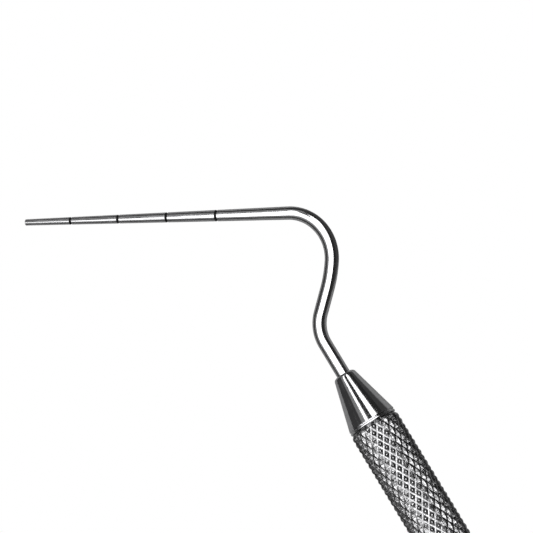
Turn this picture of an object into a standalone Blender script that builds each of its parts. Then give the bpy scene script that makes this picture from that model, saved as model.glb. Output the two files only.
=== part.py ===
"""Double-ended root canal plugger with depth rings, as separate steel pieces.

Metres, +Z up.  The knurled handle lies along X on the plane z = 0.  The front end leaves it
towards +X and hooks round to +Y, and the rear end is the same shape turned half round Z, with
a thicker tip.  Every bend lies in the plane of the handle's axis.
"""

import math

import bpy
from mathutils import Vector

MM = 0.001

# Handle barrel, in millimetres
HANDLE_LENGTH = 104.0  # end face to end face
HANDLE_DIAMETER = 4.7  # over the crests of the knurl
HANDLE_END_CHAMFER = 0.25
SOCKET_WALL = 0.8  # steel left round each end socket
SOCKET_END_ROOM = 0.5  # past the end of the spigot

# Nose cone
CONE_LENGTH = 5.1  # shoulder to nose
CONE_STEP = 0.1  # how far its rim lies under the handle's surface
CONE_RIM_WIDTH = 0.28
CONE_NOSE_WALL = 0.32  # steel round the bore at the nose
CONE_NOSE_ROUNDING = 0.35
SPIGOT_LENGTH = 6.0
SPIGOT_CHAMFER = 0.3
BORE_END_ROOM = 0.3  # past the end of the tang

# Working end, one bent and ground wire
SHANK_DIAMETER = 1.28
TANG_LENGTH = 8.0  # inside the cone
COLLAR_STRAIGHT = 3.2  # from the nose to the first bend
OFFSET_RADIUS = 3.4  # first bend, away from the tip's side
OFFSET_ANGLE = 49.0
OFFSET_STRAIGHT = 2.2
SWEEP_RADIUS = 12.0  # slow start of the bend back
SWEEP_ANGLE = 12.0
HOOK_RADIUS = 4.1
HOOK_ANGLE = 95.2
WORKING_LENGTH = 26.85  # straight, from the hook to the flat tip
TAPER_LENGTH = 30.0  # from the tip back to the full wire
FRONT_TIP_DIAMETER = 0.6
REAR_TIP_DIAMETER = 0.8

# Depth rings, V grooves round the tapered wire
RING_SPACING = 5.0
RING_COUNT = 4
RING_WIDTH = 0.22
RING_DEPTH = 0.08

# Fits
PRESS_GAP = 0.04  # radial, round a tang or a spigot
SEAT_GAP = 0.05  # axial, between a cone's shoulder and the handle's end face

# Fineness
HANDLE_STEPS = 24
CONE_STEPS = 48
NOSE_STEPS = 8
BEND_STEP_DEGREES = 4.0
WIRE_BEVEL_RESOLUTION = 6
MERGE_DISTANCE = 0.01 * MM

HANDLE_RADIUS = HANDLE_DIAMETER / 2
SOCKET_RADIUS = HANDLE_RADIUS - SOCKET_WALL
SOCKET_DEPTH = SPIGOT_LENGTH - SEAT_GAP + SOCKET_END_ROOM
SPIGOT_RADIUS = SOCKET_RADIUS - PRESS_GAP
SHANK_RADIUS = SHANK_DIAMETER / 2
BORE_RADIUS = SHANK_RADIUS + PRESS_GAP
BORE_DEPTH = TANG_LENGTH + BORE_END_ROOM
NOSE_X = SEAT_GAP + CONE_LENGTH  # of the nose face, from the handle's end face


def clear_scene():
    """Removes every object of the open scene."""
    for thing in list(bpy.data.objects):
        bpy.data.objects.remove(thing, do_unlink=True)


def steel(name, colour, roughness):
    """A bare steel material with its own colour and roughness."""
    material = bpy.data.materials.new(name)
    material.use_nodes = True
    shader = material.node_tree.nodes["Principled BSDF"]
    shader.inputs["Base Color"].default_value = (*colour, 1.0)
    shader.inputs["Metallic"].default_value = 1.0
    shader.inputs["Roughness"].default_value = roughness
    return material


def place(thing, collection, parent, location, turn, material):
    """Links an object, gives it a material and sets it on its parent."""
    collection.objects.link(thing)
    thing.parent = parent
    thing.location = location
    thing.rotation_euler = turn
    thing.data.materials.append(material)


def turned(name, profile, steps):
    """A solid of revolution about its own Z axis, from (radius, height) points in millimetres.

    The profile starts and ends on the axis and runs down the outer side.
    """
    mesh = bpy.data.meshes.new(name)
    points = [(radius * MM, 0.0, height * MM) for radius, height in profile]
    edges = [(index, index + 1) for index in range(len(points) - 1)]
    mesh.from_pydata(points, edges, [])
    thing = bpy.data.objects.new(name, mesh)
    screw = thing.modifiers.new("turn", "SCREW")
    screw.axis = "Z"
    screw.angle = math.tau
    screw.steps = steps
    screw.render_steps = steps
    screw.use_merge_vertices = True
    screw.merge_threshold = MERGE_DISTANCE
    screw.use_smooth_shade = True
    return thing


def handle_profile():
    """Half section of the barrel: a bar with a chamfered end and a blind socket at each end."""
    top = HANDLE_LENGTH / 2
    floor = top - SOCKET_DEPTH
    upper = [
        (0.0, floor),
        (SOCKET_RADIUS, floor),
        (SOCKET_RADIUS, top),
        (HANDLE_RADIUS - HANDLE_END_CHAMFER, top),
        (HANDLE_RADIUS, top - HANDLE_END_CHAMFER),
    ]
    lower = [(radius, -height) for radius, height in reversed(upper)]
    return upper + lower


def cone_profile():
    """Half section of the cone: bore, rounded nose, taper, rim, shoulder and spigot."""
    base_radius = HANDLE_RADIUS - CONE_STEP
    corner_radius = BORE_RADIUS + CONE_NOSE_WALL
    side_drop = CONE_LENGTH - CONE_RIM_WIDTH
    half_angle = math.atan2(base_radius - corner_radius, side_drop)
    reach = math.tan((math.pi / 2 - half_angle) / 2)  # a rounding's length along the nose face
    rounding = min(CONE_NOSE_ROUNDING, CONE_NOSE_WALL / reach)
    centre_radius = corner_radius - rounding * reach
    centre_height = CONE_LENGTH - rounding
    profile = [
        (0.0, CONE_LENGTH - BORE_DEPTH),
        (BORE_RADIUS, CONE_LENGTH - BORE_DEPTH),
        (BORE_RADIUS, CONE_LENGTH),
    ]
    for step in range(NOSE_STEPS + 1):
        angle = math.pi / 2 - step / NOSE_STEPS * (math.pi / 2 - half_angle)
        radius = centre_radius + rounding * math.cos(angle)
        if radius > BORE_RADIUS + MERGE_DISTANCE / MM:
            profile.append((radius, centre_height + rounding * math.sin(angle)))
    profile += [
        (base_radius, CONE_RIM_WIDTH),
        (base_radius, 0.0),
        (SPIGOT_RADIUS, 0.0),
        (SPIGOT_RADIUS, SPIGOT_CHAMFER - SPIGOT_LENGTH),
        (SPIGOT_RADIUS - SPIGOT_CHAMFER, -SPIGOT_LENGTH),
        (0.0, -SPIGOT_LENGTH),
    ]
    return profile


class Route:
    """A flat path of straights and arcs, with how far along it each point lies."""

    def __init__(self, start):
        self.place = Vector((start, 0.0))
        self.heading = 0.0
        self.travelled = 0.0
        self.stations = [(self.place.copy(), 0.0)]

    def straight(self, length, stops=()):
        """Goes straight ahead, with a point at each stop on the way and one at the end."""
        ahead = Vector((math.cos(self.heading), math.sin(self.heading)))
        for distance in (*stops, length):
            self.stations.append((self.place + ahead * distance, self.travelled + distance))
        self.place = self.place + ahead * length
        self.travelled += length

    def bend(self, radius, degrees):
        """Turns left by the angle, or right where it is negative, on an arc."""
        side = math.copysign(1.0, degrees)
        centre = self.place + side * radius * self.left()
        count = math.ceil(abs(degrees) / BEND_STEP_DEGREES)
        for _ in range(count):
            self.heading += math.radians(degrees) / count
            self.travelled += radius * math.radians(abs(degrees)) / count
            self.place = centre - side * radius * self.left()
            self.stations.append((self.place.copy(), self.travelled))

    def left(self):
        """The unit vector to the left of the way ahead."""
        return Vector((-math.sin(self.heading), math.cos(self.heading)))


def ring_edges():
    """Distance from the tip and depth at the points of every ring, from the tip back."""
    edges = []
    for number in range(1, RING_COUNT + 1):
        far = number * RING_SPACING
        edges += [(far - RING_WIDTH, 0.0), (far - RING_WIDTH / 2, RING_DEPTH), (far, 0.0)]
    return edges


def wire_radius(from_tip, tip_radius):
    """Radius of the ground wire at a distance from its tip, without the rings."""
    share = min(from_tip / TAPER_LENGTH, 1.0)
    return tip_radius + share * (SHANK_RADIUS - tip_radius)


def working_end(name, tip_diameter):
    """The bent wire: tang, collar, two bends, and the tapered part with its rings."""
    route = Route(NOSE_X - TANG_LENGTH)
    route.straight(TANG_LENGTH + COLLAR_STRAIGHT)
    route.bend(OFFSET_RADIUS, -OFFSET_ANGLE)
    route.straight(OFFSET_STRAIGHT)
    route.bend(SWEEP_RADIUS, SWEEP_ANGLE)
    route.bend(HOOK_RADIUS, HOOK_ANGLE)
    rings = ring_edges()
    stops = [WORKING_LENGTH - from_tip for from_tip, _ in reversed(rings)]
    route.straight(WORKING_LENGTH, stops)

    curve = bpy.data.curves.new(name, "CURVE")
    curve.dimensions = "3D"
    curve.twist_mode = "Z_UP"
    curve.bevel_depth = SHANK_RADIUS * MM
    curve.bevel_resolution = WIRE_BEVEL_RESOLUTION
    curve.use_fill_caps = True
    spline = curve.splines.new("POLY")
    spline.points.add(len(route.stations) - 1)
    spline.use_smooth = True
    for point, (place_mm, travelled) in zip(spline.points, route.stations):
        from_tip = route.travelled - travelled
        depth = sum(cut for where, cut in rings if math.isclose(where, from_tip, abs_tol=1e-6))
        radius = wire_radius(from_tip, tip_diameter / 2) - depth
        point.co = (place_mm.x * MM, place_mm.y * MM, 0.0, 1.0)
        point.radius = radius / SHANK_RADIUS
    return bpy.data.objects.new(name, curve)


def build_end(side, outward, tip_diameter, collection, polished, ground):
    """One cone and its working end, on an empty at the middle of that end face of the handle."""
    corner = bpy.data.objects.new(f"{side}_end", None)
    collection.objects.link(corner)
    corner.location = (outward * HANDLE_LENGTH / 2 * MM, 0.0, HANDLE_RADIUS * MM)
    corner.rotation_euler = (0.0, 0.0, 0.0 if outward > 0 else math.pi)
    cone = turned(f"{side}_cone", cone_profile(), CONE_STEPS)
    shoulder = (SEAT_GAP * MM, 0.0, 0.0)
    place(cone, collection, corner, shoulder, (0.0, math.pi / 2, 0.0), polished)
    wire = working_end(f"{side}_working_end", tip_diameter)
    place(wire, collection, corner, (0.0, 0.0, 0.0), (0.0, 0.0, 0.0), ground)


def main():
    """Builds the whole instrument."""
    clear_scene()
    collection = bpy.data.collections.new("root_canal_plugger")
    bpy.context.scene.collection.children.link(collection)
    knurled = steel("knurled_steel", (0.42, 0.42, 0.43), 0.4)
    polished = steel("polished_steel", (0.62, 0.62, 0.63), 0.15)
    ground = steel("ground_steel", (0.66, 0.66, 0.67), 0.22)

    handle = turned("handle_barrel", handle_profile(), HANDLE_STEPS)
    centre = (0.0, 0.0, HANDLE_RADIUS * MM)
    place(handle, collection, None, centre, (0.0, math.pi / 2, 0.0), knurled)
    build_end("front", 1, FRONT_TIP_DIAMETER, collection, polished, ground)
    build_end("rear", -1, REAR_TIP_DIAMETER, collection, polished, ground)
    bpy.context.view_layer.update()


main()
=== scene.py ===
"""Looks of a double-ended root canal plugger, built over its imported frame.

Five finished pieces stand for the five plain solids of the frame: a diamond-knurled barrel, two
turned and polished nose cones, and two bent and ground working ends with blackened depth rings.
Metres, +Z up.  The barrel lies along X on the plane z = 0, and every bend lies in the plane that
runs through its axis, parallel to that one.  Sizes of pieces are in millimetres.
"""

import logging
import math
from collections.abc import Iterable, Sequence
from dataclasses import dataclass, field
from enum import Enum
from random import Random
from typing import Any

import bmesh
import bpy
import numpy as np
from mathutils import Matrix, Vector

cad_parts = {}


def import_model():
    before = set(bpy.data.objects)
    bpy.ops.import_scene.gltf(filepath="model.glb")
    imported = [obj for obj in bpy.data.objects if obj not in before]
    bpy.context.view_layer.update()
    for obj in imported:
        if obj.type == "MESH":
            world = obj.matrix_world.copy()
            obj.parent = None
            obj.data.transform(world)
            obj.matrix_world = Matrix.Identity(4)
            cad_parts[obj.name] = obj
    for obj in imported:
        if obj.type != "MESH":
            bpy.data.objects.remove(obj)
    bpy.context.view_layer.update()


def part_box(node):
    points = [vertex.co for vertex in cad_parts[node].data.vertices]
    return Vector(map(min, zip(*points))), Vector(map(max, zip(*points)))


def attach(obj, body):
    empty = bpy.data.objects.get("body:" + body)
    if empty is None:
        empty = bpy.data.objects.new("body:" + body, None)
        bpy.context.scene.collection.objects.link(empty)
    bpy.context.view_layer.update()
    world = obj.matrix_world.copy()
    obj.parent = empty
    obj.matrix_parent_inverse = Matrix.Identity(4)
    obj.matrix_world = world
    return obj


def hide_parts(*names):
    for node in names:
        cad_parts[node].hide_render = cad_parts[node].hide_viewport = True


MM = 0.001
STRAIGHTENED = "straightened_mm"  # the attribute that holds a piece's straightened coordinates
WELD = 1e-5 * MM  # points this close are joined
ON_PLANE = 1e-3 * MM  # edges this close to a cut lie on it
SHARP_ANGLE = math.radians(24.0)  # edges that turn further stay sharp
SEAT_GAP = 0.05  # millimetres, between the barrel's end face and a cone's shoulder
AIM_PAST_BARREL = 0.01726  # metres along X, from the barrel's front end to the camera's aim
AIM_ASIDE = 0.00096  # metres along Y, from the barrel's axis to the camera's aim

log = logging.getLogger("plugger")

Socket = bpy.types.NodeSocket
Colour = tuple[float, float, float]


class Side(Enum):
    """An end of the instrument, and which way along X it points."""

    FRONT = 1
    REAR = -1

    @property
    def label(self) -> str:
        """The word that starts the names of this end's pieces."""
        return self.name.lower()

    @property
    def turn(self) -> float:
        """The end's turn about Z, in radians."""
        return 0.0 if self is Side.FRONT else math.pi

    @property
    def tip_diameter(self) -> float:
        """The size of this end's flat tip, in millimetres."""
        return 0.6 if self is Side.FRONT else 0.8


class Slot(Enum):
    """The record's material slots."""

    KNURLED = "knurled_steel"
    POLISHED = "polished_steel"
    GROUND = "ground_steel"


# ---------------------------------------------------------------- finishes


class ShaderSheet:
    """Adds nodes to one node tree and joins them."""

    def __init__(self, tree: bpy.types.NodeTree) -> None:
        """Starts on a tree.

        Args:
            tree: The node tree of a material, a world or a group.
        """
        self.tree = tree

    def add(
        self, kind: str, feeds: dict[str | int, Any] | None = None, **settings: Any
    ) -> bpy.types.Node:
        """Adds one node.

        Args:
            kind: The node's type, as bpy names it.
            feeds: Input name or number to a plain value, or to the output socket that feeds it.
            **settings: The node's own properties.

        Returns:
            The new node.
        """
        node = self.tree.nodes.new(kind)
        for name, value in settings.items():
            setattr(node, name, value)
        for key, value in (feeds or {}).items():
            if isinstance(value, bpy.types.NodeSocket):
                self.tree.links.new(value, node.inputs[key])
            else:
                node.inputs[key].default_value = value
        return node

    def maths(self, operation: str, first: Any, second: Any = 0.0) -> Socket:
        """Adds a Math node and gives back its result.

        Args:
            operation: The Math node's operation.
            first: Its first value or socket.
            second: Its second value or socket.

        Returns:
            The socket with the result.
        """
        return self.add("ShaderNodeMath", {0: first, 1: second}, operation=operation).outputs[0]

    def ramp(
        self, value: Any, low: Any, high: Any, to_low: Any = 0.0, to_high: Any = 1.0
    ) -> Socket:
        """Maps a value smoothly from one span to another, and holds it at both ends.

        Args:
            value: The value or socket to map.
            low: Where the span starts.
            high: Where the span ends.
            to_low: The result at the start.
            to_high: The result at the end.

        Returns:
            The socket with the result.
        """
        feeds = {
            "Value": value,
            "From Min": low,
            "From Max": high,
            "To Min": to_low,
            "To Max": to_high,
        }
        node = self.add("ShaderNodeMapRange", feeds, interpolation_type="SMOOTHSTEP", clamp=True)
        return node.outputs["Result"]

    def noise(self, place: Any, scale: Any, detail: float, **more: float) -> Socket:
        """Adds a noise texture.

        Args:
            place: The socket with its coordinates.
            scale: Its scale, a value or a socket.
            detail: How many finer layers it has.
            **more: Its other inputs, in lower case.

        Returns:
            The socket with the noise as a number.
        """
        feeds = {"Vector": place, "Scale": scale, "Detail": detail}
        feeds.update({name.capitalize(): value for name, value in more.items()})
        return self.add("ShaderNodeTexNoise", feeds).outputs[0]

    def blend(self, share: Any, first: Any, second: Any) -> Socket:
        """Mixes two colours by a share.

        Args:
            share: How much of the second colour there is.
            first: The colour or socket at no share.
            second: The colour or socket at full share.

        Returns:
            The socket with the mixed colour.
        """
        node = self.add("ShaderNodeMix", {"Factor": share}, data_type="RGBA")
        for key, value in ((6, first), (7, second)):
            if isinstance(value, bpy.types.NodeSocket):
                self.tree.links.new(value, node.inputs[key])
            else:
                node.inputs[key].default_value = (*value, 1.0)
        return node.outputs[2]


class Effect:
    """A surface effect that several finishes share, as a node group with named sockets."""

    def __init__(self, name: str, inputs: dict[str, Any], outputs: Iterable[str]) -> None:
        """Makes an empty group.

        Args:
            name: The group's name.
            inputs: Input name to its default, a number or three of them.
            outputs: The names of the outputs, which are all numbers.
        """
        self.group = bpy.data.node_groups.new(name, "ShaderNodeTree")
        for label, default in inputs.items():
            kind = "NodeSocketFloat" if isinstance(default, float) else "NodeSocketVector"
            socket = self.group.interface.new_socket(label, in_out="INPUT", socket_type=kind)
            socket.default_value = default
        for label in outputs:
            self.group.interface.new_socket(label, in_out="OUTPUT", socket_type="NodeSocketFloat")
        self.sheet = ShaderSheet(self.group)
        self.given = self.sheet.add("NodeGroupInput").outputs
        self.result = self.sheet.add("NodeGroupOutput").inputs

    def put_out(self, label: str, socket: Socket) -> None:
        """Joins a socket inside the group to one of its outputs."""
        self.group.links.new(socket, self.result[label])

    def place(self, sheet: ShaderSheet, **feeds: Any) -> dict[str, Socket]:
        """Places the group in a material.

        Args:
            sheet: The material's sheet.
            **feeds: Values or sockets for the group's inputs.

        Returns:
            Output name to its socket.
        """
        node = sheet.add("ShaderNodeGroup", node_tree=self.group)
        for label, value in feeds.items():
            if isinstance(value, bpy.types.NodeSocket):
                sheet.tree.links.new(value, node.inputs[label])
            else:
                node.inputs[label].default_value = value
        return {socket.name: socket for socket in node.outputs}


@dataclass
class Effects:
    """The effects that the steels share, each built once.

    A span is the part of a noise over which its effect goes from none to full.
    """

    streak_span: tuple[float, float] = (0.34, 0.66)
    ripple_share: float = 2.0  # of the slow ripple, against the fine lines
    smear_span: tuple[float, float] = (0.35, 0.7)
    scuff_span: tuple[float, float] = (0.66, 0.74)
    scuff_slant: tuple[float, float, float] = (0.5, 0.9, 0.3)
    scuff_stretch: tuple[float, float, float] = (0.7, 9.0, 9.0)
    scuff_scale: float = 1.3
    patch_span: tuple[float, float] = (0.3, 0.6)
    patch_scale: float = 2.6
    bare_span: tuple[float, float] = (0.75, 1.0)  # of the height between bottom and crest
    tool_marks: Effect = field(init=False)
    handling: Effect = field(init=False)
    crevice: Effect = field(init=False)

    def __post_init__(self) -> None:
        """Builds the three groups."""
        self.tool_marks = self.build_tool_marks()
        self.handling = self.build_handling()
        self.crevice = self.build_crevice()

    def build_tool_marks(self) -> Effect:
        """Fine lines left by a cutter or a grinding wheel, with a slow ripple under them.

        Returns:
            The group. Stretch squeezes the coordinates, so that lines run where it is small.
        """
        inputs = {"Place": (0.0, 0.0, 0.0), "Stretch": (1.0, 1.0, 1.0), "Ripple": 1.0}
        effect = Effect("tool_marks", inputs, ("Height", "Streak"))
        sheet, given = effect.sheet, effect.given
        squeezed = sheet.add(
            "ShaderNodeVectorMath", {0: given["Place"], 1: given["Stretch"]}, operation="MULTIPLY"
        ).outputs[0]
        fine = sheet.noise(squeezed, 1.0, 3.0, roughness=0.6)
        slow = sheet.noise(given["Place"], given["Ripple"], 1.0, roughness=0.4)
        ripple = sheet.maths("MULTIPLY", slow, self.ripple_share)
        effect.put_out("Height", sheet.maths("ADD", fine, ripple))
        effect.put_out("Streak", sheet.ramp(fine, *self.streak_span))
        return effect

    def build_handling(self) -> Effect:
        """Faint smears and wiping marks of a used instrument.

        Returns:
            The group. Smear is cloudy, and Scuff is a few short scratches.
        """
        effect = Effect("handling", {"Place": (0.0, 0.0, 0.0), "Scale": 0.4}, ("Smear", "Scuff"))
        sheet, given = effect.sheet, effect.given
        cloud = sheet.noise(given["Place"], given["Scale"], 4.0, distortion=0.6)
        effect.put_out("Smear", sheet.ramp(cloud, *self.smear_span))
        turned = {
            "Vector": given["Place"],
            "Rotation": self.scuff_slant,
            "Scale": self.scuff_stretch,
        }
        slant = sheet.add("ShaderNodeMapping", turned).outputs[0]
        lines = sheet.noise(slant, self.scuff_scale, 2.0)
        effect.put_out("Scuff", sheet.ramp(lines, *self.scuff_span))
        return effect

    def build_crevice(self) -> Effect:
        """Painted shade low in a cut surface, broken into patches like grime, and bare shine on its
        crests.

        Returns:
            The group. Level is the distance from the axis, in millimetres.
        """
        inputs = {"Place": (0.0, 0.0, 0.0), "Level": 1.0, "Bottom": 0.9, "Crest": 1.0}
        effect = Effect("crevice", inputs, ("Residue", "Bare"))
        sheet, given = effect.sheet, effect.given
        height = sheet.ramp(given["Level"], given["Bottom"], given["Crest"])
        patchy = sheet.noise(given["Place"], self.patch_scale, 3.0)
        low = sheet.maths("SUBTRACT", 1.0, height)
        patches = sheet.ramp(patchy, *self.patch_span)
        # painted shade: darkest at the bottom of a groove, in patches like grime
        effect.put_out("Residue", sheet.maths("MULTIPLY", low, patches))
        effect.put_out("Bare", sheet.ramp(height, *self.bare_span))
        return effect


@dataclass(frozen=True)
class Steel:
    """A steel finish: its colours, its gloss and the marks that made it."""

    name: str
    bright: Colour
    dull: Colour
    roughness: tuple[float, float]  # where it is clean, and where it is smeared
    stretch: tuple[float, float, float]
    ripple: float
    mark_height: float  # millimetres
    smear_scale: float
    scuff_roughness: float = 0.06  # added in a scratch
    # painted shade low in the grooves, patchy like grime: its colour, its strength and its reach
    residue: Colour = (0.03, 0.03, 0.03)
    residue_share: float = 0.35
    residue_reach: tuple[float, float] | None = None  # radii of bottom and crest, in millimetres
    bare_polish: float = 0.06  # roughness taken off a crest

    def build(self, effects: Effects) -> bpy.types.Material:
        """Builds the material.

        Args:
            effects: The shared node groups.

        Returns:
            A metal that varies with the piece's own straightened coordinates.
        """
        material = bpy.data.materials.new(self.name)
        material.use_nodes = True
        sheet = ShaderSheet(material.node_tree)
        shader = material.node_tree.nodes["Principled BSDF"]
        shader.inputs["Metallic"].default_value = 1.0
        place = sheet.add("ShaderNodeAttribute", attribute_name=STRAIGHTENED).outputs["Vector"]
        marks = effects.tool_marks.place(
            sheet, Place=place, Stretch=self.stretch, Ripple=self.ripple
        )
        handled = effects.handling.place(sheet, Place=place, Scale=self.smear_scale)
        colour = sheet.blend(marks["Streak"], self.bright, self.dull)
        sharpness = sheet.ramp(handled["Smear"], 0.0, 1.0, *self.roughness)
        scuffed = sheet.maths("MULTIPLY", handled["Scuff"], self.scuff_roughness)
        rough = sheet.maths("ADD", sharpness, scuffed)
        # Painted shade: darkens the colour low in the grooves, in patches like grime.
        if self.residue_reach:
            apart = sheet.add("ShaderNodeSeparateXYZ", {0: place}).outputs
            squares = [sheet.maths("MULTIPLY", apart[axis], apart[axis]) for axis in (1, 2)]
            level = sheet.maths("SQRT", sheet.maths("ADD", *squares))
            bottom, crest = self.residue_reach
            cut = effects.crevice.place(sheet, Place=place, Level=level, Bottom=bottom, Crest=crest)
            groove_shade_amount = sheet.maths("MULTIPLY", cut["Residue"], self.residue_share)
            colour = sheet.blend(groove_shade_amount, colour, self.residue)
            polish = sheet.maths("MULTIPLY", cut["Bare"], self.bare_polish)
            rough = sheet.maths("SUBTRACT", rough, polish)
        relief = {"Strength": 1.0, "Distance": self.mark_height * MM, "Height": marks["Height"]}
        bump = sheet.add("ShaderNodeBump", relief)
        sheet.tree.links.new(colour, shader.inputs["Base Color"])
        sheet.tree.links.new(rough, shader.inputs["Roughness"])
        sheet.tree.links.new(bump.outputs[0], shader.inputs["Normal"])
        return material


# ---------------------------------------------------------------- mesh work


def circle(steps: int) -> np.ndarray:
    """Points of a unit circle.

    Args:
        steps: How many points.

    Returns:
        An array of cosines and sines, one row per point.
    """
    angles = np.arange(steps) * math.tau / steps
    return np.stack([np.cos(angles), np.sin(angles)], axis=1)


def with_middles(rows: list[np.ndarray]) -> np.ndarray:
    """Joins rings of points, and adds the middles of the first and the last.

    Args:
        rows: The rings, each an array with one row per point.

    Returns:
        All the points in one array, with the two middles at its end.
    """
    middles = [row.mean(axis=0, keepdims=True) for row in (rows[0], rows[-1])]
    return np.concatenate([*rows, *middles])


@dataclass
class Skin:
    """A closed skin over a row of rings, with a point at each end.

    Every ring is a row of points round a straightened axis and the same points in place.
    """

    steps: int
    places: list[np.ndarray] = field(default_factory=list)
    straight: list[np.ndarray] = field(default_factory=list)
    dark: list[bool] = field(default_factory=list)

    def ring(
        self, centre: Vector, side: Vector, radius: float, along: float, dark: bool = False
    ) -> None:
        """Adds a ring.

        Args:
            centre: Its middle, in millimetres.
            side: The unit vector across it, in the plane of the bends.
            radius: Its radius, in millimetres.
            along: How far along the straightened axis it lies, in millimetres.
            dark: True if the faces from here to the next ring are blackened.
        """
        across = circle(self.steps) * radius
        middle = np.array((centre.x, centre.y, 0.0))
        sideways = np.array((side.x, side.y, 0.0))
        upright = np.array((0.0, 0.0, 1.0))
        self.places.append(middle + across[:, :1] * sideways + across[:, 1:] * upright)
        self.straight.append(np.insert(across, 0, along, axis=1))
        self.dark.append(dark)

    def mesh(self, name: str) -> bpy.types.Mesh:
        """Joins the rings and closes both ends.

        Args:
            name: The mesh's name.

        Returns:
            The mesh, in metres, with its straightened coordinates as an attribute.
        """
        points = with_middles(self.places) * MM
        straight = with_middles(self.straight)
        count, steps = len(self.places), self.steps
        first, last = count * steps, count * steps + 1
        faces: list[tuple[int, ...]] = []
        blackened: list[bool] = []
        for row in range(count - 1):
            for step in range(steps):
                after = (step + 1) % steps
                low, high = row * steps, (row + 1) * steps
                faces.append((low + step, low + after, high + after, high + step))
                blackened.append(self.dark[row])
        top = (count - 1) * steps
        for step in range(steps):
            after = (step + 1) % steps
            faces.append((first, after, step))
            faces.append((last, top + step, top + after))
            blackened += [False, False]
        mesh = bpy.data.meshes.new(name)
        mesh.from_pydata(points.tolist(), [], faces)
        mesh.polygons.foreach_set("material_index", np.array(blackened, dtype=np.int32))
        finish_mesh(mesh, straight)
        return mesh


def in_order(sheet: bmesh.types.BMesh) -> tuple[list[tuple[float, ...]], list[tuple[int, ...]]]:
    """Lists points and faces in an order of their own, whatever order they were cut in.

    Args:
        sheet: The mesh to list.

    Returns:
        Its points by place, and its faces as numbers of points.
    """
    ordered = sorted(sheet.verts, key=lambda point: tuple(point.co))
    numbers = {point: number for number, point in enumerate(ordered)}
    faces = sorted(tuple(numbers[point] for point in face.verts) for face in sheet.faces)
    return [tuple(point.co) for point in ordered], faces


def finish_mesh(mesh: bpy.types.Mesh, straight: np.ndarray | None = None) -> None:
    """Turns faces outwards, shades them smooth up to sharp edges and stores coordinates.

    Args:
        mesh: The mesh to finish.
        straight: Straightened coordinates in millimetres, or None where the mesh's own serve.
    """
    sheet = bmesh.new()
    sheet.from_mesh(mesh)
    bmesh.ops.recalc_face_normals(sheet, faces=sheet.faces)
    sheet.to_mesh(mesh)
    sheet.free()
    if straight is None:
        straight = np.zeros(len(mesh.vertices) * 3)
        mesh.vertices.foreach_get("co", straight)
        straight = straight / MM
    attribute = mesh.attributes.new(STRAIGHTENED, "FLOAT_VECTOR", "POINT")
    attribute.data.foreach_set("vector", np.ascontiguousarray(straight, dtype=np.float32).ravel())
    mesh.shade_smooth()
    mesh.set_sharp_from_angle(angle=SHARP_ANGLE)


def set_piece(
    name: str,
    mesh: bpy.types.Mesh,
    where: Matrix,
    steels: Sequence[bpy.types.Material],
) -> None:
    """Makes a piece that stands for the frame's node of the same name.

    Args:
        name: The node's name in the frame.
        mesh: The piece's mesh, in metres.
        where: Its place in the row frame.
        steels: Its materials, the main one first.
    """
    piece = bpy.data.objects.new(f"{name}_finished", mesh)
    bpy.context.scene.collection.objects.link(piece)
    piece.matrix_world = where
    for steel in steels:
        mesh.materials.append(steel)
    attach(piece, "root")
    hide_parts(name)
    log.info("%s: %d faces for node %s", piece.name, len(mesh.polygons), name)


# ---------------------------------------------------------------- pieces


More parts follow.
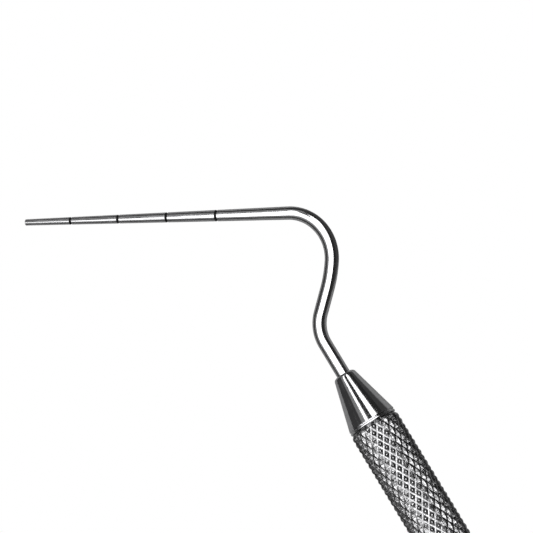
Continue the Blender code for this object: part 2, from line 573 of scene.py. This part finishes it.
@dataclass
class Barrel:
    """The knurled handle, a bar with a blind socket in each end face.

    Two families of grooves cross at the same slant, one wound to the left and one to the right.
    What stands between them are pyramids with flat tops.
    """

    radius: float
    length: float
    starts: int = 22  # grooves of each family round the bar
    lead: float = 1.075  # along the axis, from one crossing to the next
    depth: float = 0.145
    floor_share: float = 0.19  # of a pitch, flat bottom of a groove
    top_share: float = 0.13  # of a pitch, flat top of a pyramid
    unevenness: float = 0.012  # millimetres, of single crests
    bottom_unevenness: float = 0.006
    end_chamfer: float = 0.25
    socket_radius: float = 1.55
    socket_depth: float = 6.45
    seed: int = 7

    def line_shares(self) -> tuple[float, float, float, float]:
        """Where the four creases of one pitch lie, as shares of it."""
        half_floor, half_top = self.floor_share / 2, self.top_share / 2
        return half_floor, 0.5 - half_top, 0.5 + half_top, 1.0 - half_floor

    def build_mesh(self) -> bpy.types.Mesh:
        """Lays the creases of both families as a net of slanting squares, and closes its ends.

        Returns:
            The mesh, about its own middle.
        """
        shares = self.line_shares()
        lines = len(shares)
        around = 2 * lines * self.starts
        reach = math.ceil((self.length / 2 + self.lead) / self.lead) * lines
        raised = (0.0, 1.0, 1.0, 0.0)  # of the four creases of a pitch
        random = Random(self.seed)
        numbers: dict[tuple[int, int], int] = {}
        points: list[tuple[float, float, float]] = []

        def corner(right: int, left: int) -> int:
            """Finds the point where two creases cross, and makes it at its first use.

            Args:
                right: The number of the crease that winds to the right.
                left: The number of the crease that winds to the left.

            Returns:
                The point's number.
            """
            while right - left < 0:
                right, left = right + around // 2, left - around // 2
            while right - left >= around:
                right, left = right - around // 2, left + around // 2
            if (right, left) in numbers:
                return numbers[right, left]
            place_right = right // lines + shares[right % lines]
            place_left = left // lines + shares[left % lines]
            crest = min(raised[right % lines], raised[left % lines])
            spread = self.unevenness if crest else self.bottom_unevenness
            radius = self.radius - self.depth * (1.0 - crest) - spread * random.random()
            angle = math.pi * (place_right - place_left) / self.starts
            x = self.lead * (place_right + place_left) / 2
            numbers[right, left] = len(points)
            points.append((x * MM, radius * math.cos(angle) * MM, radius * math.sin(angle) * MM))
            return numbers[right, left]

        faces: list[tuple[int, ...]] = []
        for total in range(-2 * reach, 2 * reach + 1):
            for difference in range(total % 2, around, 2):
                right, left = (total + difference) // 2, (total - difference) // 2
                ring = [
                    corner(right, left),
                    corner(right + 1, left),
                    corner(right + 1, left + 1),
                    corner(right, left + 1),
                ]
                rises = (right % lines, left % lines)  # 0 and 2 are flanks, 1 a top, 3 a floor
                if rises in ((0, 0), (2, 2)):
                    faces += [(ring[0], ring[1], ring[2]), (ring[0], ring[2], ring[3])]
                elif rises in ((0, 2), (2, 0)):
                    faces += [(ring[0], ring[1], ring[3]), (ring[1], ring[2], ring[3])]
                else:
                    faces.append(tuple(ring))
        mesh = bpy.data.meshes.new("handle_barrel_finished")
        mesh.from_pydata(points, [], faces)
        self.close_ends(mesh)
        finish_mesh(mesh)
        return mesh

    def close_ends(self, mesh: bpy.types.Mesh) -> None:
        """Cuts the net off square, and adds the chamfer, end face and socket at both ends.

        Args:
            mesh: The open net, which is changed.
        """
        sheet = bmesh.new()
        sheet.from_mesh(mesh)
        for outward in (1, -1):
            cut = outward * (self.length / 2 - self.end_chamfer) * MM
            everything = [*sheet.verts, *sheet.edges, *sheet.faces]
            bmesh.ops.bisect_plane(
                sheet,
                geom=everything,
                plane_co=(cut, 0, 0),
                plane_no=(outward, 0, 0),
                clear_outer=True,
            )
            open_edges = [edge for edge in sheet.edges if edge.is_boundary]
            rim = [edge for edge in open_edges if abs(edge.verts[0].co.x - cut) < ON_PLANE]
            face = self.length / 2
            stations = (
                (face, self.radius - self.end_chamfer),
                (face, self.socket_radius),
                (face - self.socket_depth, self.socket_radius),
                (face - self.socket_depth, 0.0),
            )
            for along, radius in stations:
                made = bmesh.ops.extrude_edge_only(sheet, edges=rim)["geom"]
                rim = [part for part in made if isinstance(part, bmesh.types.BMEdge)]
                for point in (part for part in made if isinstance(part, bmesh.types.BMVert)):
                    across = point.co.yz.normalized() * radius * MM
                    point.co = (outward * along * MM, across.x, across.y)
        bmesh.ops.remove_doubles(sheet, verts=sheet.verts, dist=WELD)
        bmesh.ops.recalc_face_normals(sheet, faces=sheet.faces)
        points, faces = in_order(sheet)
        sheet.free()
        mesh.clear_geometry()
        mesh.from_pydata(points, [], faces)

    def place(self, steel: bpy.types.Material) -> None:
        """Sets the barrel on the ground plane, along X.

        Args:
            steel: Its finish.
        """
        where = Matrix.Translation((0.0, 0.0, self.radius * MM))
        set_piece("handle_barrel", self.build_mesh(), where, [steel])


@dataclass
class NoseCone:
    """A turned cone with a rim, a rounded nose, a bore for the wire and a spigot."""

    side: Side
    rim_radius: float
    length: float
    rim_width: float = 0.19
    rim_height: float = 0.05  # crown of the rim's bead
    rim_steps: int = 8
    line_width: float = 0.13  # cut that parts the rim from the taper
    line_depth: float = 0.09
    nose_radius: float = 1.0
    nose_rounding: float = 0.35
    nose_steps: int = 10
    bore_radius: float = 0.66
    bore_depth: float = 8.3
    spigot_radius: float = 1.51
    spigot_length: float = 6.0
    spigot_chamfer: float = 0.3
    taper_steps: int = 24
    steps: int = 160

    def profile(self) -> list[tuple[float, float]]:
        """The half section from the floor of the bore round to the end of the spigot.

        Returns:
            Pairs of distance from the shoulder and radius.
        """
        taper_start = self.rim_width + self.line_width
        drop = self.rim_radius - self.nose_radius
        half_angle = math.atan2(drop, self.length - taper_start)
        reach = math.tan((math.pi / 2 - half_angle) / 2)
        rounding = min(self.nose_rounding, (self.nose_radius - self.bore_radius) / reach)
        centre = (self.length - rounding, self.nose_radius - rounding * reach)
        section = [
            (self.length - self.bore_depth, self.bore_radius),
            (self.length, self.bore_radius),
        ]
        for step in range(self.nose_steps + 1):
            angle = math.pi / 2 - step / self.nose_steps * (math.pi / 2 - half_angle)
            along = centre[0] + rounding * math.sin(angle)
            section.append((along, centre[1] + rounding * math.cos(angle)))
        last_along, last_radius = section[-1]
        for step in range(1, self.taper_steps + 1):
            share = step / self.taper_steps
            along = last_along + share * (taper_start - last_along)
            section.append((along, last_radius + share * (self.rim_radius - last_radius)))
        cut = self.rim_radius - self.line_depth
        section.append((self.rim_width + self.line_width / 2, cut))
        for step in range(self.rim_steps + 1):
            angle = math.pi * step / self.rim_steps
            along = self.rim_width * (1.0 + math.cos(angle)) / 2
            section.append((along, self.rim_radius - self.rim_height * (1.0 - math.sin(angle))))
        section += [
            (0.0, self.spigot_radius),
            (self.spigot_chamfer - self.spigot_length, self.spigot_radius),
            (-self.spigot_length, self.spigot_radius - self.spigot_chamfer),
        ]
        return section

    def place(self, shoulder: Matrix, steel: bpy.types.Material) -> None:
        """Turns the cone and sets it on the barrel's end.

        Args:
            shoulder: Place of the cone's shoulder, with X pointing outwards.
            steel: Its finish.
        """
        skin = Skin(self.steps)
        for along, radius in self.profile():
            skin.ring(Vector((along, 0.0)), Vector((0.0, 1.0)), radius, along)
        name = f"{self.side.label}_cone"
        set_piece(name, skin.mesh(f"{name}_finished"), shoulder, [steel])


@dataclass(frozen=True)
class Station:
    """A point on the wire's middle line."""

    place: Vector
    heading: float
    travelled: float


@dataclass
class Route:
    """A flat path of straights and arcs, in millimetres, which starts along X."""

    start: float
    step_degrees: float = 1.25
    stations: list[Station] = field(default_factory=list)

    def __post_init__(self) -> None:
        """Puts down the first station."""
        self.stations.append(Station(Vector((self.start, 0.0)), 0.0, 0.0))

    def straight(self, length: float, stops: Iterable[float] = ()) -> None:
        """Goes straight ahead.

        Args:
            length: How far.
            stops: Distances on the way that get a station too.
        """
        last = self.stations[-1]
        ahead = Vector((math.cos(last.heading), math.sin(last.heading)))
        for distance in (*stops, length):
            place = last.place + ahead * distance
            self.stations.append(Station(place, last.heading, last.travelled + distance))

    def bend(self, radius: float, degrees: float) -> None:
        """Turns on an arc, left where the angle is positive.

        Args:
            radius: The arc's radius.
            degrees: The angle turned.
        """
        last = self.stations[-1]
        side = math.copysign(1.0, degrees)
        centre = last.place + side * radius * left_of(last.heading)
        count = math.ceil(abs(degrees) / self.step_degrees)
        for step in range(1, count + 1):
            turned = math.radians(degrees) * step / count
            heading = last.heading + turned
            place = centre - side * radius * left_of(heading)
            self.stations.append(Station(place, heading, last.travelled + radius * abs(turned)))


def left_of(heading: float) -> Vector:
    """The unit vector to the left of a heading."""
    return Vector((-math.sin(heading), math.cos(heading)))


@dataclass
class WorkingEnd:
    """The bent wire: tang, collar, two bends and the ground taper with its depth rings."""

    side: Side
    tip_diameter: float
    nose: float  # of the cone, from the barrel's end face
    shank_diameter: float = 1.28
    tang: float = 8.0
    collar: float = 3.2
    offset_radius: float = 3.4
    offset_angle: float = 49.0
    offset_straight: float = 2.2
    sweep_radius: float = 12.0
    sweep_angle: float = 12.0
    hook_radius: float = 4.1
    hook_angle: float = 95.2
    working_length: float = 26.85
    taper_length: float = 30.0
    tip_edge: float = 0.03
    ring_spacing: float = 5.0
    ring_count: int = 4
    ring_width: float = 0.22
    ring_depth: float = 0.08
    ring_floor: tuple[float, float] = (0.4, 0.6)  # where the bottom lies, as shares of the width
    ring_bleed: float = 0.02  # blackening past both edges of a ring
    spacing: float = 0.5  # of stations on the straight part
    clearance: float = 0.05  # of those stations from the creases of the rings
    same: float = 1e-6  # distances this close are one
    steps: int = 64

    def radius_at(self, from_tip: float) -> float:
        """The wire's radius at a distance from its tip, without rings, in millimetres."""
        share = min(from_tip / self.taper_length, 1.0)
        return (self.tip_diameter + share * (self.shank_diameter - self.tip_diameter)) / 2

    def cuts(self) -> dict[float, tuple[float, bool]]:
        """The rings and the tip's edge.

        Returns:
            Distance from the tip to how deep the wire is cut there, and whether it is blackened
            from there on towards the tip.
        """
        found = {0.0: (self.tip_edge, False), self.tip_edge: (0.0, False)}
        for number in range(1, self.ring_count + 1):
            far = number * self.ring_spacing
            found[far + self.ring_bleed] = (0.0, True)
            found[far] = (0.0, True)
            for share in self.ring_floor:
                found[far - share * self.ring_width] = (self.ring_depth, True)
            found[far - self.ring_width] = (0.0, True)
            found[far - self.ring_width - self.ring_bleed] = (0.0, False)
        return found

    def route(self) -> Route:
        """The wire's middle line from the tang to the tip.

        Returns:
            The route, with a station at every crease of the rings.
        """
        route = Route(self.nose - self.tang)
        route.straight(self.tang + self.collar)
        route.bend(self.offset_radius, -self.offset_angle)
        route.straight(self.offset_straight)
        route.bend(self.sweep_radius, self.sweep_angle)
        route.bend(self.hook_radius, self.hook_angle)
        marks = set(self.cuts())
        plain = np.arange(self.spacing, self.working_length, self.spacing)
        marks.update(
            mark for mark in plain.tolist() if min(abs(mark - x) for x in marks) > self.clearance
        )
        stops = sorted(self.working_length - mark for mark in marks if mark > 0.0)
        route.straight(self.working_length, stops)
        return route

    def place(self, end_face: Matrix, steel: bpy.types.Material, black: bpy.types.Material) -> None:
        """Sweeps the wire and sets it on its end of the barrel.

        Args:
            end_face: Place of the middle of the barrel's end face, with X pointing outwards.
            steel: The wire's finish.
            black: The finish inside the rings.
        """
        route = self.route()
        cuts = self.cuts()
        skin = Skin(self.steps)
        whole = route.stations[-1].travelled
        for station in route.stations:
            from_tip = whole - station.travelled
            nearest = min(cuts, key=lambda mark: abs(mark - from_tip))
            met = abs(nearest - from_tip) < self.same
            depth, dark = cuts[nearest] if met else (0.0, False)
            radius = self.radius_at(from_tip) - depth
            skin.ring(station.place, left_of(station.heading), radius, from_tip, dark)
        name = f"{self.side.label}_working_end"
        set_piece(name, skin.mesh(f"{name}_finished"), end_face, [steel, black])


# ---------------------------------------------------------------- studio


@dataclass(frozen=True)
class Softbox:
    """A rectangular lamp overhead, in a plane square to the camera's axis.

    Its edges are given in metres from that axis, to the right and upwards as the camera sees them.
    """

    name: str
    across: tuple[float, float]
    upwards: tuple[float, float]
    radiance: float


@dataclass
class Studio:
    """The camera, the pale floor, the surroundings and the lamps."""

    aim: Vector  # on the instrument, in the plane of its bends
    heading: float = -33.1  # degrees, of the camera's upright in the plane of the bends
    lean: float = 22.0  # degrees, of the camera off that plane's upright
    distance: float = 0.170
    span: float = 0.04824  # metres seen across, at the aim
    sensor: float = 36.0
    floor_size: float = 3.0
    floor_albedo: tuple[float, float] = (0.05, 0.24)  # dark side and pale side
    floor_line: tuple[float, float] = (-0.0075, -0.005)  # along Y, from all dark to all pale
    surround: tuple[float, float] = (0.026, 0.055)  # towards -Y and towards +Y
    surround_span: tuple[float, float] = (-0.3, 0.3)  # Y of a direction, from one to the other
    reach: float = 1.0  # metres from the aim to the plane of the lamps
    lamps: tuple[Softbox, ...] = (
        Softbox("left_box", (-1.12, -0.8), (-1.1, 1.3), 2.6),
        Softbox("lower_box", (-0.8, 0.42), (-0.6, 0.75), 2.6),
        Softbox("upper_box", (-0.33, 0.42), (0.75, 1.6), 2.6),
        Softbox("low_left_box", (-1.38, -1.12), (-1.2, 0.0), 2.2),
        Softbox("left_fill", (-2.0, -1.15), (0.45, 1.3), 0.22),
        Softbox("side_fill", (-5.0, -1.38), (-1.6, 0.25), 0.26),
        Softbox("head_fill", (-4.0, -0.4), (1.3, 4.0), 0.25),
        Softbox("foot_fill", (-4.0, 0.4), (-4.0, -1.15), 0.2),
    )

    def axes(self) -> tuple[Vector, Vector, Vector]:
        """Works out how the camera is turned.

        Returns:
            Its right, up and back, as unit vectors of the row frame.
        """
        turn = math.radians(self.heading)
        upright = Vector((math.cos(turn), math.sin(turn), 0.0))
        level = upright.cross(Vector((0.0, 0.0, 1.0)))
        lean = math.radians(self.lean)
        back = Vector((0.0, 0.0, 1.0)) * math.cos(lean) + level * math.sin(lean)
        return upright.cross(back), upright, back

    def basis(self, right: Vector, upright: Vector, back: Vector, place: Vector) -> Matrix:
        """The matrix of an object at a place that faces away from back.

        Args:
            right: Its own X, as a unit vector.
            upright: Its own Y, as a unit vector.
            back: Its own Z, as a unit vector.
            place: Where it stands.

        Returns:
            The matrix.
        """
        turned = Matrix((right, upright, back)).transposed().to_4x4()
        return Matrix.Translation(place) @ turned

    def place_camera(self) -> None:
        """Makes the scene's camera."""
        lens = bpy.data.cameras.new("camera")
        lens.sensor_width = self.sensor
        lens.lens = self.sensor * self.distance / self.span
        lens.clip_start = 0.01
        lens.clip_end = 10.0
        camera = bpy.data.objects.new("camera", lens)
        bpy.context.scene.collection.objects.link(camera)
        right, upright, back = self.axes()
        camera.matrix_world = self.basis(right, upright, back, self.aim + back * self.distance)
        bpy.context.scene.camera = camera

    def place_lamps(self) -> None:
        """Hangs every softbox in its plane, facing the instrument."""
        right, upright, back = self.axes()
        for box in self.lamps:
            lamp = bpy.data.lights.new(box.name, "AREA")
            lamp.shape = "RECTANGLE"
            lamp.size = box.across[1] - box.across[0]
            lamp.size_y = box.upwards[1] - box.upwards[0]
            lamp.energy = box.radiance * math.pi * lamp.size * lamp.size_y
            shown = bpy.data.objects.new(box.name, lamp)
            shown.visible_camera = False
            bpy.context.scene.collection.objects.link(shown)
            middle = right * sum(box.across) / 2 + upright * sum(box.upwards) / 2
            place = self.aim + back * self.reach + middle
            shown.matrix_world = self.basis(right, upright, back, place)

    def place_floor(self) -> None:
        """Lays the floor.

        The camera sees it plain white and without a shadow.  To the steel and to the light it is
        a pale floor, which turns dark beyond a line along the barrel.
        """
        half = self.floor_size / 2
        corners = [(-half, -half, 0), (half, -half, 0), (half, half, 0), (-half, half, 0)]
        mesh = bpy.data.meshes.new("floor")
        mesh.from_pydata(corners, [], [(0, 1, 2, 3)])
        material = bpy.data.materials.new("pale_floor")
        material.use_nodes = True
        material.node_tree.nodes.clear()
        sheet = ShaderSheet(material.node_tree)
        seen = sheet.add("ShaderNodeLightPath").outputs["Is Camera Ray"]
        place = sheet.add("ShaderNodeNewGeometry").outputs["Position"]
        sideways = sheet.add("ShaderNodeSeparateXYZ", {0: place}).outputs["Y"]
        share = sheet.ramp(sideways, *self.floor_line)
        colour = sheet.blend(share, *[(albedo,) * 3 for albedo in self.floor_albedo])
        lit = sheet.add("ShaderNodeBsdfDiffuse", {"Color": colour}).outputs[0]
        glow = {"Color": (1.0, 1.0, 1.0, 1.0), "Strength": 1.0}
        white = sheet.add("ShaderNodeEmission", glow).outputs[0]
        mixed = sheet.add("ShaderNodeMixShader", {0: seen, 1: lit, 2: white}).outputs[0]
        sheet.add("ShaderNodeOutputMaterial", {0: mixed})
        mesh.materials.append(material)
        floor = bpy.data.objects.new("floor", mesh)
        bpy.context.scene.collection.objects.link(floor)

    def set_surroundings(self) -> None:
        """Makes the surroundings white to the camera and dim to the steel and the floor."""
        world = bpy.data.worlds.new("studio")
        world.use_nodes = True
        bpy.context.scene.world = world
        sheet = ShaderSheet(world.node_tree)
        seen = sheet.add("ShaderNodeLightPath").outputs["Is Camera Ray"]
        direction = sheet.add("ShaderNodeTexCoord").outputs["Generated"]
        sideways = sheet.add("ShaderNodeSeparateXYZ", {0: direction}).outputs["Y"]
        share = sheet.ramp(sideways, *self.surround_span)
        dim = sheet.blend(share, *[(level,) * 3 for level in self.surround])
        colour = sheet.blend(seen, dim, (1.0, 1.0, 1.0))
        sheet.tree.links.new(colour, world.node_tree.nodes["Background"].inputs["Color"])
        bpy.context.scene.view_settings.view_transform = "Standard"

    def build(self) -> None:
        """Sets up the whole studio."""
        self.place_camera()
        self.place_floor()
        self.set_surroundings()
        self.place_lamps()


# ---------------------------------------------------------------- assembly


def knurled(barrel: Barrel) -> Steel:
    """The barrel's finish: cut and blasted steel, with painted shade low in its grooves, patchy
    like grime.

    Args:
        barrel: The barrel, whose knurl sets how far the painted shade reaches.

    Returns:
        The finish.
    """
    bare_share = 0.2  # of the knurl's depth, down from the crests
    return Steel(
        name=Slot.KNURLED.value,
        bright=(0.68, 0.68, 0.69),
        dull=(0.22, 0.22, 0.225),
        roughness=(0.15, 0.24),
        stretch=(9.0, 9.0, 9.0),
        ripple=4.0,
        mark_height=0.014,
        smear_scale=0.5,
        # how far the painted groove shade reaches, from the bottom of a groove up to near the
        # crests
        residue_reach=(barrel.radius - barrel.depth, barrel.radius - bare_share * barrel.depth),
    )


POLISHED = Steel(
    name=Slot.POLISHED.value,
    bright=(0.66, 0.66, 0.67),
    dull=(0.58, 0.58, 0.59),
    roughness=(0.08, 0.13),
    stretch=(22.0, 0.15, 0.15),
    ripple=0.8,
    mark_height=0.0006,
    smear_scale=0.8,
)

GROUND = Steel(
    name=Slot.GROUND.value,
    bright=(0.68, 0.68, 0.69),
    dull=(0.58, 0.58, 0.59),
    roughness=(0.1, 0.16),
    stretch=(2.5, 14.0, 14.0),
    ripple=1.2,
    mark_height=0.0002,
    smear_scale=0.9,
)

BLACKENED = Steel(
    name="ring_black",
    bright=(0.02, 0.02, 0.02),
    dull=(0.035, 0.035, 0.035),
    roughness=(0.45, 0.6),
    stretch=(9.0, 9.0, 9.0),
    ripple=3.0,
    mark_height=0.002,
    smear_scale=2.0,
)


def main() -> None:
    """Builds the instrument over the frame, and the studio round it."""
    logging.basicConfig(level=logging.INFO, format="%(name)s: %(message)s")
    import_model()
    effects = Effects()

    low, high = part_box("handle_barrel")
    barrel = Barrel(radius=(high.z - low.z) / 2 / MM, length=(high.x - low.x) / MM)
    barrel.place(knurled(barrel).build(effects))
    polished = POLISHED.build(effects)
    ground = GROUND.build(effects)
    blackened = BLACKENED.build(effects)

    for side in Side:
        end_face = Matrix.Translation((side.value * high.x, 0.0, barrel.radius * MM))
        end_face = end_face @ Matrix.Rotation(side.turn, 4, "Z")
        cone_low, cone_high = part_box(f"{side.label}_cone")
        nose = max(abs(cone_low.x), abs(cone_high.x)) / MM - barrel.length / 2
        rim_radius = (cone_high.z - cone_low.z) / 2 / MM
        cone = NoseCone(side, rim_radius, length=nose - SEAT_GAP)
        cone.place(end_face @ Matrix.Translation((SEAT_GAP * MM, 0.0, 0.0)), polished)
        wire = WorkingEnd(side, side.tip_diameter, nose)
        wire.place(end_face, ground, blackened)

    aim = Vector((high.x + AIM_PAST_BARREL, AIM_ASIDE, barrel.radius * MM))
    Studio(aim).build()


if __name__ == "__main__":
    main()
